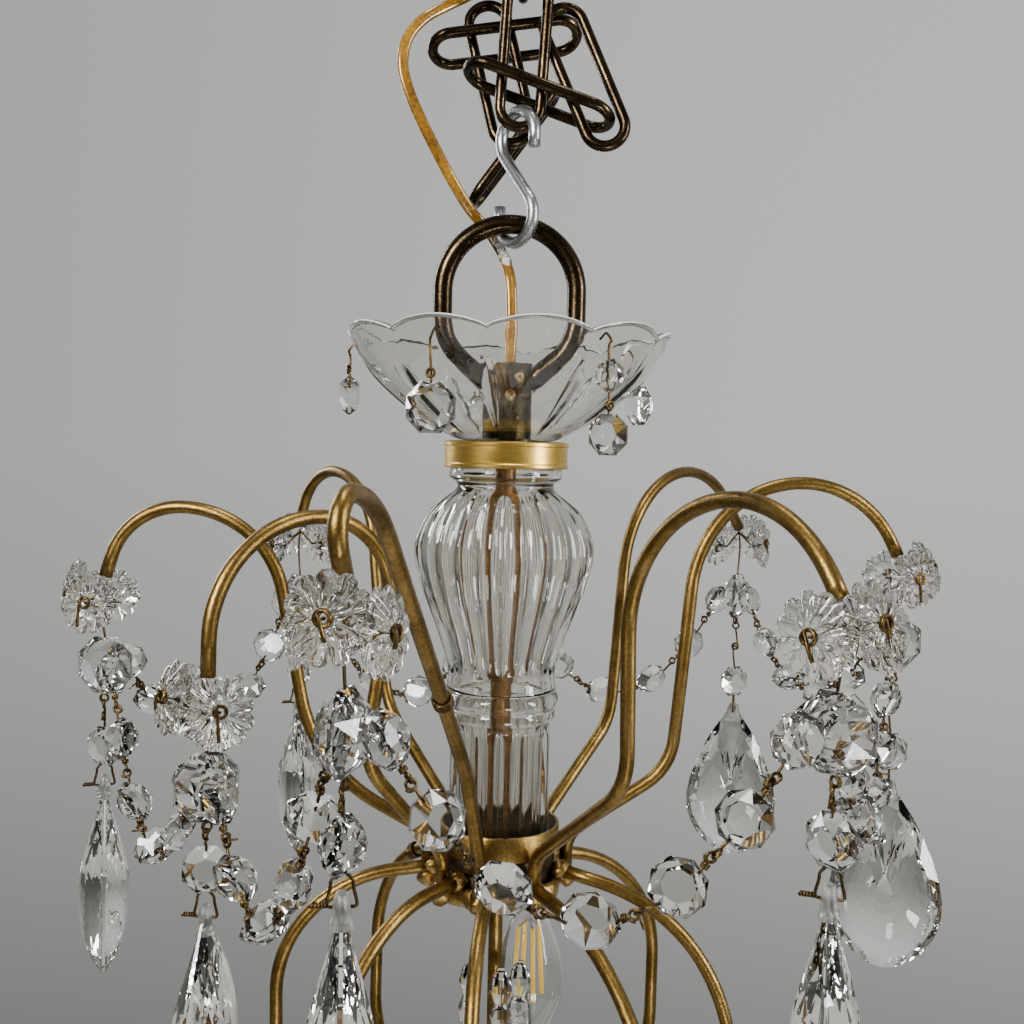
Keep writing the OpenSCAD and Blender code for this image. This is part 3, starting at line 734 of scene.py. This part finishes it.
def make_stem(mats):
    curve = [(p.x, p.y) for p in smooth_line([(r, z, 0) for r, z in BALUSTER], 8)]
    fluted(curve, "glass_baluster", "baluster", 4.8, -256, -338, 2.0, mats)
    bead = [(24, -346.2), (25.6, -347.5), (26.2, -350), (25.4, -352.6), (23.6, -353.8), (24.6, -355),
            (25.0, -357), (24.4, -359), (22.5, -360.5)]
    column = bead + [(22.5, z) for z in range(-364, -418, -3)] + [(22.5, -418)]
    fluted(column, "glass_column", "column", 4.2, -360, -417, 1.8, mats)
    rod = Shape()
    turns = [(-206 - 0.9 * k, 5.0 if k % 2 else 4.5) for k in range(260)]
    tube = [(3.5, -205)] + [(r, z) for z, r in turns] + [(4.5, -440), (3.5, -440)]
    rod.add(*lathe(scaled(tube), 28))
    finish_piece(rod, "threaded_rod", "fixture", [mats["rod"]], ["centre_rod"])
    collar = Shape()
    ring = [(ROD_BORE_R, -234.2), (27.4, -234.2), (28.2, -234.8), (28.2, -236), (27.7, -236.5),
            (27.7, -243.8), (28.2, -244.3), (28.2, -245.4), (27.5, -246), (ROD_BORE_R, -246)]
    collar.add(*lathe(scaled(ring), 128))
    washer = [(ROD_BORE_R, -234.0), (26.6, -234.0), (26.9, -234.15), (ROD_BORE_R, -234.15)]
    collar.add(*lathe(scaled(washer), 96), 1)
    crease(finish_piece(collar, "gold_collar", "fixture", [mats["satin_gold"], mats["dark"]],
                        ["collar"]))
    cup = Shape()
    wall = [(ROD_BORE_R, -418.6), (27.2, -418.6), (28, -418), (28, -407.6), (27.6, -407), (26.8, -407),
            (26.5, -407.6), (26.2, -417.8), (ROD_BORE_R, -417.8)]
    cup.add(*lathe(scaled(wall), 96))
    crease(finish_piece(cup, "gilt_cup", "fixture", [mats["gilt"]], ["hub_cup"]))
    # Dark sheets inside the gilt cup and round the hub are painted shade: no real piece, they only darken the
    # hollow where shadow falls.
    shade_sheets = Shape()
    dish = [(ROD_BORE_R, -417.6), (26, -417.6), (26.3, -408), (26.1, -408), (25.8, -417.3),
            (ROD_BORE_R, -417.3)]
    plug = [(ROD_BORE_R, -426), (24.2, -426), (24.2, -437), (ROD_BORE_R, -437)]
    drum = [(ROD_BORE_R, -418.7), (25.6, -418.7), (26.4, -420), (26.2, -424), (25.4, -425.8),
            (ROD_BORE_R, -426)]
    for profile in (dish, drum, plug):
        shade_sheets.add(*lathe(scaled(profile), 72))
    finish_piece(shade_sheets, "hub_shadow_lining", "fixture", [mats["dark"]])
    make_hub_ring(mats)


def make_hub_ring(mats):
    shape = Shape()
    wave = random.Random(11)
    phases = [wave.uniform(0, 6.28) for _ in range(4)]

    def radius_at(r, z, angle, row):
        rough = sum(math.sin((5 + 4 * i) * angle + p) for i, p in enumerate(phases))
        return r + (0.35 * MM * rough if r > 20 * MM else 0)

    ring = [(ROD_BORE_R, -440), (27, -440), (28.8, -438.5), (29.3, -436), (28.8, -432), (27.5, -430.6),
            (26, -430.6), (24.8, -432), (24.6, -437), (ROD_BORE_R, -437)]
    shape.add(*lathe(scaled(ring), 144, radius_at))
    finish_piece(shape, "brazed_ring", "fixture", [mats["solder"]], ["hub_ring"])


def crease(obj, angle=35):
    """Flat shading across sharp turns of a smooth piece."""
    mesh = obj.data
    mesh.polygons.foreach_set("use_smooth", [True] * len(mesh.polygons))
    normals = [p.normal.copy() for p in mesh.polygons]
    faces_of = {}
    for poly in mesh.polygons:
        for key in poly.edge_keys:
            faces_of.setdefault(key, []).append(poly.index)
    limit = math.cos(math.radians(angle))
    for edge in mesh.edges:
        pair = faces_of.get(tuple(sorted(edge.vertices)), [])
        if len(pair) == 2 and normals[pair[0]].dot(normals[pair[1]]) < limit:
            edge.use_edge_sharp = True


# ---------------------------------------------------------------- cut crystal
def octagon(d, t):
    """Cut octagon with a table on both faces; X is the line of its two holes, Y its thickness."""
    r, h = d / 2 * MM, t / 2 * MM
    rings = [(1.0, 0.13, 0.0), (0.60, 1.0, 22.5)]
    verts, faces = [], []
    for side in (-1, 1):
        for scale, high, turn in rings:
            for k in range(8):
                a = math.radians(22.5 + 45 * k + turn)
                verts.append((r * scale * math.cos(a), side * h * high, r * scale * math.sin(a)))
    for s, base in ((0, 0), (1, 16)):
        def face(*ids):
            faces.append(tuple(ids) if s else tuple(ids[::-1]))
        for k in range(8):
            n = (k + 1) % 8
            face(base + k, base + 8 + k, base + n)
            face(base + n, base + 8 + k, base + 8 + n)
        face(*[base + 8 + k for k in range(8)][::-1])
    for k in range(8):
        n = (k + 1) % 8
        faces.append((k, n, 16 + n, 16 + k))
    return verts, faces


def rosette(d, t, petals):
    """Moulded flower; X is its axis."""
    cols, rows = petals * 6, 9
    verts, faces = [], []
    for side in (1, -1):
        for i in range(rows + 1):
            f = i / rows
            for k in range(cols):
                a = 2 * math.pi * k / cols
                swell = abs(math.cos(petals / 2 * a)) ** 0.7
                edge = d / 2 * MM * (0.86 + 0.14 * swell)
                r = edge * f
                dome = math.sqrt(max(0.0, 1 - f ** 2.6))
                cup = 0.55 + 0.45 * math.sin(math.pi * min(1, f * 1.25))
                h = t / 2 * MM * dome * cup * (1 - 0.6 * (1 - swell) * f)
                verts.append((side * h, r * math.cos(a), r * math.sin(a)))
    size = (rows + 1) * cols
    for s in (0, 1):
        for i in range(rows):
            for k in range(cols):
                n = (k + 1) % cols
                quad = (s * size + i * cols + k, s * size + (i + 1) * cols + k,
                        s * size + (i + 1) * cols + n, s * size + i * cols + n)
                faces.append(quad if s == 0 else quad[::-1])
    return verts, faces


ALMOND_W, ALMOND_LEN, ALMOND_T = 53, 92, 22
# half width down the almond, as (share of the length, share of the half width)
ALMOND_EDGE = [(0.06, 0.15), (0.11, 0.26), (0.19, 0.45), (0.28, 0.62), (0.39, 0.79), (0.51, 0.93),
               (0.62, 0.995), (0.72, 0.98), (0.81, 0.87), (0.89, 0.69), (0.95, 0.46), (0.99, 0.20),
               (1.0, 0.0)]
# rings of facets on each face: share of the outline, share of the thickness, shift round it
ALMOND_RINGS = [(1.0, 0.07, 0), (0.84, 0.44, 0.5), (0.64, 0.72, 0), (0.42, 0.90, 0.5), (0.20, 1.0, 0)]


def almond():
    """Cut almond, point and neck at the top; hangs down -Z, X is its width."""
    loop = [(w * ALMOND_W / 2, -s * ALMOND_LEN) for s, w in ALMOND_EDGE]
    loop += [(-w * ALMOND_W / 2, -s * ALMOND_LEN) for s, w in ALMOND_EDGE[-2::-1]]
    n = len(loop)
    center = -0.60 * ALMOND_LEN
    verts, faces = [], []
    for side in (-1, 1):
        for scale, high, shift in ALMOND_RINGS:
            for k in range(n):
                a, b = loop[k], loop[(k + 1) % n]
                x = a[0] + (b[0] - a[0]) * shift
                z = a[1] + (b[1] - a[1]) * shift
                near_neck = max(0.0, 1 + z / (0.24 * ALMOND_LEN))
                thick = high * ALMOND_T / 2 * (1 - near_neck * 0.6)
                verts.append((x * scale * MM, side * thick * MM, (center + (z - center) * scale) * MM))
    for s, base in ((0, 0), (1, len(ALMOND_RINGS) * n)):
        def face(*ids):
            faces.append(tuple(ids[::-1]) if s else tuple(ids))
        for level in range(len(ALMOND_RINGS) - 1):
            low, high = base + level * n, base + (level + 1) * n
            for k in range(n):
                nxt = (k + 1) % n
                if level % 2 == 0:
                    face(low + k, low + nxt, high + k)
                    face(low + nxt, high + nxt, high + k)
                else:
                    face(low + k, low + nxt, high + nxt)
                    face(low + k, high + nxt, high + k)
        face(*[base + (len(ALMOND_RINGS) - 1) * n + k for k in range(n)])
    for k in range(n):
        nxt = (k + 1) % n
        faces.append((k, len(ALMOND_RINGS) * n + k, len(ALMOND_RINGS) * n + nxt, nxt))
    return verts, faces


def neck():
    """Frosted drilled neck at the top of an almond."""
    line = [Vector((0, 0, z)) * MM for z in (0.2, -0.4, -2.0, -5.0, -8.0, -10.5)]
    radii = [1.4 * MM, 2.5 * MM, 3.2 * MM, 3.9 * MM, 4.5 * MM, 4.9 * MM]
    return sweep(line, radii, 18, section=lambda a: (math.cos(a) * 0.72, math.sin(a)), side=(0, 1, 0))


def ring_line(center, u, v, r, turns=1.0, rise=(0, 0, 0), steps=14):
    count = int(steps * turns)
    lift = Vector(rise)
    line = []
    for i in range(count + 1):
        angle = 2 * math.pi * i / steps
        line.append(Vector(center) + u * r * math.cos(angle) + v * r * math.sin(angle) + lift * (i / count))
    return line


def wire_link(shape, a, b, seed):
    """Pin wires from two beads, bent to eyes that hook into each other in the gap a to b."""
    local = random.Random(seed)
    ahead = (b - a).normalized()
    side = ahead.orthogonal().normalized()
    spin = Matrix.Rotation(local.uniform(0, 6.28), 3, ahead)
    side = spin @ side
    other = ahead.cross(side)
    middle = (a + b) / 2
    r = 1.7 * MM
    for sign, start, u in ((-1, a, side), (1, b, other)):
        center = middle + ahead * sign * r * 0.62
        line = [start + ahead * sign * 3.0 * MM, start]
        line += ring_line(center, ahead * sign, u, r, 1.25, side * 0.8 * MM if sign < 0 else other * 0.8 * MM)
        wire(shape, line, 2)
    coil = ring_line(a + ahead * 0.8 * MM, side, other, 1.1 * MM, 2.5, ahead * 1.6 * MM, 10)
    shape.add(*sweep(coil, WIRE_R * 0.8 * MM, 6))
    if local.random() < 0.4:
        tail = [middle, middle + side * 2.5 * MM, middle + side * 5 * MM + other * local.uniform(-3, 3) * MM]
        shape.add(*sweep(smooth_line(tail, 4), WIRE_R * 0.8 * MM, 6))


# Garlands: first arm, second arm, sag
SWAGS = [(3, 5, 78), (5, 6, 80), (6, 4, 60), (4, 7, 70), (7, 1, 70), (1, 0, 70), (0, 2, 72), (2, 3, 75)]
SWAG_DROP, SWAG_START, BEAD_PITCH, BEAD_D, BEAD_T = 20, 26, 27, 19, 10
ROSETTES = [(14, 0, -6), (13, 78, -11), (13, -78, -10)]
ROSETTE_D, ROSETTE_T = 28, 8
BIG_BEAD_Z, BIG_BEAD_D, BIG_BEAD_T = -41, 28, 13


def swag_points(swag):
    a, b = TIPS[swag[0]], TIPS[swag[1]]
    line = []
    for i in range(121):
        t = i / 120
        line.append(a + (b - a) * t - Vector((0, 0, SWAG_DROP + 4 * swag[2] * t * (1 - t))) * MM)
    return line


def walk(line, distance):
    """Point and direction at a distance along a line."""
    for a, b in zip(line, line[1:]):
        step = (b - a).length
        if distance <= step:
            return a + (b - a) * (distance / step), (b - a).normalized()
        distance -= step
    return line[-1], (line[-1] - line[-2]).normalized()


def make_garlands(mats):
    beads, wires = Shape(), Shape()
    cut = octagon(BEAD_D, BEAD_T)
    for w, swag in enumerate(SWAGS):
        line = swag_points(swag)
        total = sum((b - a).length for a, b in zip(line, line[1:])) / MM
        count = int((total - 2 * SWAG_START) // BEAD_PITCH)
        pitch = (total - 2 * SWAG_START) / count
        spots = [walk(line, (SWAG_START + k * pitch) * MM) for k in range(count + 1)]
        for place, ahead in spots:
            tilt = ahead + Vector((rng.uniform(-1, 1), rng.uniform(-1, 1), rng.uniform(-1, 1))) * 0.12
            spin = rng.choice((-1, 1)) * rng.uniform(0.35, 1.25)
            beads.place(cut, frame_at(place, tilt, spin), smooth=False)
        reach = BEAD_D / 2 * 0.93 * MM
        for k in range(count):
            (p, ap), (q, aq) = spots[k], spots[k + 1]
            wire_link(wires, p + ap * reach, q - aq * reach, 1000 + 50 * w + k)
    for i, tip in enumerate(TIPS):
        add_arm_beads(beads, wires, i, tip)
    finish_piece(beads, "garland_octagons", "fixture", [mats["crystal"]], ["garland_beads"])
    finish_piece(wires, "garland_wires", "fixture", [mats["pin_wire"]], ["garland_links"])


def add_arm_beads(beads, wires, i, tip):
    """Large octagon under an arm's rosettes, with the wire that carries it."""
    az = UPPER[i][0]
    out = polar(1, az, 0).normalized()
    spin = rng.uniform(-0.4, 0.4) + math.radians(az)
    place = frame_at(tip + Vector((0, 0, BIG_BEAD_Z * MM)), (0, 0, 1), spin)
    beads.place(octagon(BIG_BEAD_D, BIG_BEAD_T), place, smooth=False)
    top = tip + Vector((0, 0, (BIG_BEAD_Z + BIG_BEAD_D / 2 - 2) * MM))
    stem = [tip + Vector((0, 0, -2 * MM)), tip + out * 2 * MM + Vector((0, 0, -12 * MM)), top]
    wire(wires, stem, 5)
    low = tip + Vector((0, 0, (BIG_BEAD_Z - BIG_BEAD_D / 2 + 1) * MM))
    wire(wires, ring_line(low - Vector((0, 0, 2.0 * MM)), Vector((0, 0, 1)), out, 1.8 * MM, 1.6,
                          polar(1, az + 90, 0) * 1.2))


SPINDLES = [-70, 15, 75]
SPINDLE_OUT, SPINDLE_TOP, SPINDLE_LEN, SPINDLE_R = 12, -472, 34, 5


def make_spindles(mats):
    shape = Shape()
    for az in SPINDLES:
        place = polar(SPINDLE_OUT, az, 0)
        rings = [(0.35, 0.0), (0.75, 0.10), (1.0, 0.28), (0.6, 0.46), (1.0, 0.62), (0.7, 0.85), (0.15, 1.0)]
        profile = [(SPINDLE_R * s * MM, (SPINDLE_TOP - SPINDLE_LEN * h) * MM) for s, h in rings]
        verts, faces = lathe(profile, 8, closed=False)
        faces += [tuple(range(8)), tuple(6 * 8 + k for k in range(8))[::-1]]
        shape.add([Vector(v) + place for v in verts], faces, smooth=False)
    finish_piece(shape, "stem_spindles", "fixture", [mats["crystal"]])


def make_rosettes(mats):
    flowers, pins = Shape(), Shape()
    flower = rosette(ROSETTE_D, ROSETTE_T, 11)
    for i, tip in enumerate(TIPS):
        az = UPPER[i][0]
        for reach, turn, drop in ROSETTES:
            out = polar(1, az + turn, 0).normalized()
            face = (out + Vector((0, 0, rng.uniform(-0.05, 0.35)))).normalized()
            center = tip + out * reach * MM + Vector((0, 0, drop * MM))
            flowers.place(flower, frame_at(center, face, rng.uniform(0, 1)))
            add_pin(pins, tip, center, face)
    finish_piece(flowers, "glass_flowers", "fixture", [mats["petal"]], ["rosettes"])
    finish_piece(pins, "flower_pins", "fixture", [mats["pin_wire"]], ["rosette_pins"])


def add_pin(pins, tip, center, face):
    """Pin through a flower: knotted eye in front, loose tail below."""
    up = Vector((0, 0, 1))
    across = face.cross(up).normalized()
    front = center + face * 3.4 * MM
    wire(pins, [tip + Vector((0, 0, -3 * MM)), center - face * 4 * MM, front])
    eye = ring_line(front, across, up, 2.3 * MM, 2.2, face * 1.0 * MM)
    drop = rng.uniform(6, 13) * MM
    end = eye[-1] + across * rng.uniform(-4, 4) * MM - up * drop
    tail = smooth_line([eye[-1], (eye[-1] + end) / 2 + face * 0.4 * MM, end], 4)
    pins.add(*sweep(eye + tail[1:], WIRE_R * 1.25 * MM, 8))


# ---------------------------------------------------------------- hanging drops
HINGE_DROP, WIRE_GAP = 58, 4
ALMOND_TOP = [92, 98, 86, 88, 106, 88, 108, 98]
DROP_TURN = [109, 108, 85, 98, -15, 72, -20, 0]


def make_drops(mats):
    up = Vector((0, 0, 1))
    for i, tip in enumerate(TIPS):
        shape, wires = Shape(), Shape()
        az = UPPER[i][0]
        bead_z = -ALMOND_TOP[i] + WIRE_GAP + BEAD_D / 2
        place = tip + up * bead_z * MM
        spin = math.radians(az) + rng.uniform(-0.5, 0.5)
        shape.place(octagon(BEAD_D, BEAD_T), frame_at(place, (0, 0, 1), spin), smooth=False)
        turn = Matrix.Rotation(math.radians(DROP_TURN[i]), 4, "Z")
        top = tip + up * (-ALMOND_TOP[i]) * MM
        at = Matrix.Translation(top) @ turn
        shape.place(almond(), at, smooth=False)
        shape.place(neck(), at, slot=1)
        along = turn.to_3x3() @ Vector((1, 0, 0))
        through = turn.to_3x3() @ Vector((0, 1, 0))
        high = tip + up * (-HINGE_DROP - 1) * MM
        above = place + up * (BEAD_D / 2 - 1) * MM
        wire(wires, ring_line(high, up, along, 1.8 * MM, 1.3, through * 1.0 * MM))
        half = (high + above) / 2
        line = [high - up * 1.6 * MM, half + along * 1.4 * MM, half - along * 1.2 * MM, above,
                above - up * 2 * MM]
        wire(wires, line, 4)
        if (half - above).length > 3 * MM:
            wire(wires, ring_line(half, up, along, 1.8 * MM, 1.5, through * 1.2 * MM))
        low = place - up * (BEAD_D / 2 - 2.0) * MM
        hole = top - up * 4.0 * MM
        for side in (-1, 1):
            fork = [low + through * side * 0.6 * MM, low - up * 2.5 * MM + through * side * 3.0 * MM,
                    top + up * 1.0 * MM + through * side * 3.4 * MM, hole + through * side * 4.4 * MM,
                    hole - up * 0.6 * MM + through * side * 2.0 * MM]
            wire(wires, fork, 5)
        tail = ring_line(hole + through * 4.2 * MM, along, up, 0.55 * MM, 5.0, through * 5 * MM, 8)
        wires.add(*sweep(tail, WIRE_R * 0.9 * MM, 6))
        body = "pendalogue_%d" % (i + 1)
        glass = [mats["crystal"], mats["frosted"]]
        finish_piece(shape, "almond_%d" % (i + 1), body, glass, [body])
        finish_piece(wires, "almond_wire_%d" % (i + 1), body, [mats["pin_wire"]])


# azimuth, drop from the pin to the octagon, its diameter, and its turn from edge on
RIM_DROPS = [(-97, 14, 19, 8), (-24, 20, 22, 74), (34, 31, 18, 60), (120, 14, 20, 30), (192, 18, 20, 70)]
RIM_PIN_R, RIM_PIN_Z, RIM_OUT, RIM_T, RIM_BEAD_D = 69, -191, 4, 9, 14


def make_bowl_drops(mats):
    up = Vector((0, 0, 1))
    for i, (az, gap, size, turn) in enumerate(RIM_DROPS):
        shape, wires = Shape(), Shape()
        out = polar(1, az, 0).normalized()
        pin = polar(RIM_PIN_R + RIM_OUT, az, RIM_PIN_Z)
        place = pin - up * (gap + size / 2) * MM
        shape.place(octagon(size, RIM_T), frame_at(place, (0, 0, 1), math.radians(turn)), smooth=False)
        top = size / 2 + 0.5
        if gap > 2 * RIM_BEAD_D:
            middle = pin - up * (gap / 2 + 1) * MM
            shape.place(octagon(RIM_BEAD_D, RIM_T), frame_at(middle, (0, 0, 1), 0.3), smooth=False)
            top = size / 2 + 4
        across = out.cross(up)
        line = [pin - out * 8 * MM - up * 1 * MM, pin - out * 3 * MM + up * 0.5 * MM,
                pin + out * 0.5 * MM - up * 3 * MM, pin + across * 0.8 * MM - up * 6 * MM,
                place + up * top * MM, place + up * (size / 2 - 2) * MM]
        wire(wires, line, 5)
        eye = ring_line(place + up * (size / 2 + 2.4) * MM, up, across, 1.7 * MM, 1.5, out * 1.0 * MM)
        wire(wires, eye)
        body = "bowl_drop_%d" % (i + 1)
        finish_piece(shape, "rim_octagon_%d" % (i + 1), body, [mats["crystal"]], [body])
        finish_piece(wires, "rim_wire_%d" % (i + 1), body, [mats["pin_wire"]])


# ---------------------------------------------------------------- boss screws and lamp
BOSS_R, BOSS_SCREW_Z, BOSS_SCREW_AZ, SCREW_R, SCREW_T = 11, [-205, -213], [25, 5], 2.6, 2


def make_boss_screws(mats):
    shape = Shape()
    for z, az in zip(BOSS_SCREW_Z, BOSS_SCREW_AZ):
        dome = [(SCREW_R, 0), (SCREW_R, 1.2), (SCREW_R * 0.85, 1.8), (0.9, SCREW_T), (0.5, SCREW_T - 0.6)]
        verts, faces = lathe(scaled(dome), 24, closed=False)
        faces.append(tuple(4 * 24 + k for k in range(24)))
        turn = polar(1, az, 0).to_track_quat("Z", "Y").to_matrix().to_4x4()
        shape.place((verts, faces), Matrix.Translation(polar(BOSS_R, az, z)) @ turn)
    finish_piece(shape, "boss_screw_heads", "fixture", [mats["brass_screw"]], ["boss_screws"])


LAMP_R, LAMP_AZ, BULB_FOOT = 31, 149, -524
BULB = [(7.5, 0), (11, 8), (16.5, 22), (17.5, 31), (15.5, 44), (9, 61), (3.5, 71), (0.8, 76)]


def make_bulb(mats):
    centre = polar(LAMP_R, LAMP_AZ, BULB_FOOT)
    outer = [(p.x, p.y) for p in smooth_line([(r, z, 0) for r, z in BULB], 8)]
    inner = [(max(0.4, r - 0.7), z - (0.7 if z > 60 else 0)) for r, z in outer[::-1]]
    glass = Shape()
    glass.place(lathe(scaled(outer + inner), 64), Matrix.Translation(centre))
    finish_piece(glass, "bulb_envelope", "bulb", [mats["bulb_glass"]], ["bulb"])
    cap = Shape()
    thread = [(6.9 if k % 2 else 6.3, -1 - 1.2 * k) for k in range(16)]
    cap.place(lathe(scaled([(0.4, 1), (7, 1)] + thread + [(3, -22), (0.4, -23.8)]), 32, closed=False),
              Matrix.Translation(centre))
    stem = [Vector((0, 0, z)) * MM + centre for z in (0, 8, 16, 24)]
    cap.add(*sweep(stem, [3 * MM, 2.4 * MM, 1.8 * MM, 1.4 * MM], 14))
    finish_piece(cap, "bulb_cap", "bulb", [mats["zinc"]])
    threads, holders = Shape(), Shape()
    low, high, wide = 22, 57, 7.5
    for k in range(4):
        a = math.radians(20 + 90 * k)
        side = Vector((math.cos(a), math.sin(a), 0)) * wide * MM
        foot = centre + side + Vector((0, 0, low * MM))
        head = centre + side * 0.7 + Vector((0, 0, high * MM))
        threads.add(*sweep([foot, head], 1.1 * MM, 10))
        holders.add(*sweep([centre + Vector((0, 0, 20 * MM)), foot], 0.35 * MM, 6))
        holders.add(*sweep([head, centre + Vector((0, 0, (high + 3) * MM))], 0.35 * MM, 6))
    finish_piece(threads, "bulb_filaments", "bulb", [mats["filament"]])
    finish_piece(holders, "bulb_supports", "bulb", [mats["zinc"]])


# ---------------------------------------------------------------- carried-over CAD nodes
def dress_cad(mats):
    looks = {"ceiling_plate": "bronze", "ceiling_eye": "bronze", "boss": "dark",
             "stem": "gilt", "lamp_plate": "gilt", "finial": "gilt", "lamp_holder": "dark"}
    looks.update({"chain_link_%d" % i: "bronze" for i in range(1, 7)})
    for node, look in looks.items():
        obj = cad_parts[node]
        if not obj.material_slots:
            obj.data.materials.append(mats[look])
        for slot in obj.material_slots:
            slot.material = mats[look]


make_camera()
materials = make_materials()
make_flex(materials)
make_stage()
make_hook_and_ring(materials)
make_arms(materials)
make_ties(materials)
make_bowl(materials)
make_stem(materials)
make_garlands(materials)
make_spindles(materials)
make_rosettes(materials)
make_drops(materials)
make_bowl_drops(materials)
make_boss_screws(materials)
make_bulb(materials)
dress_cad(materials)
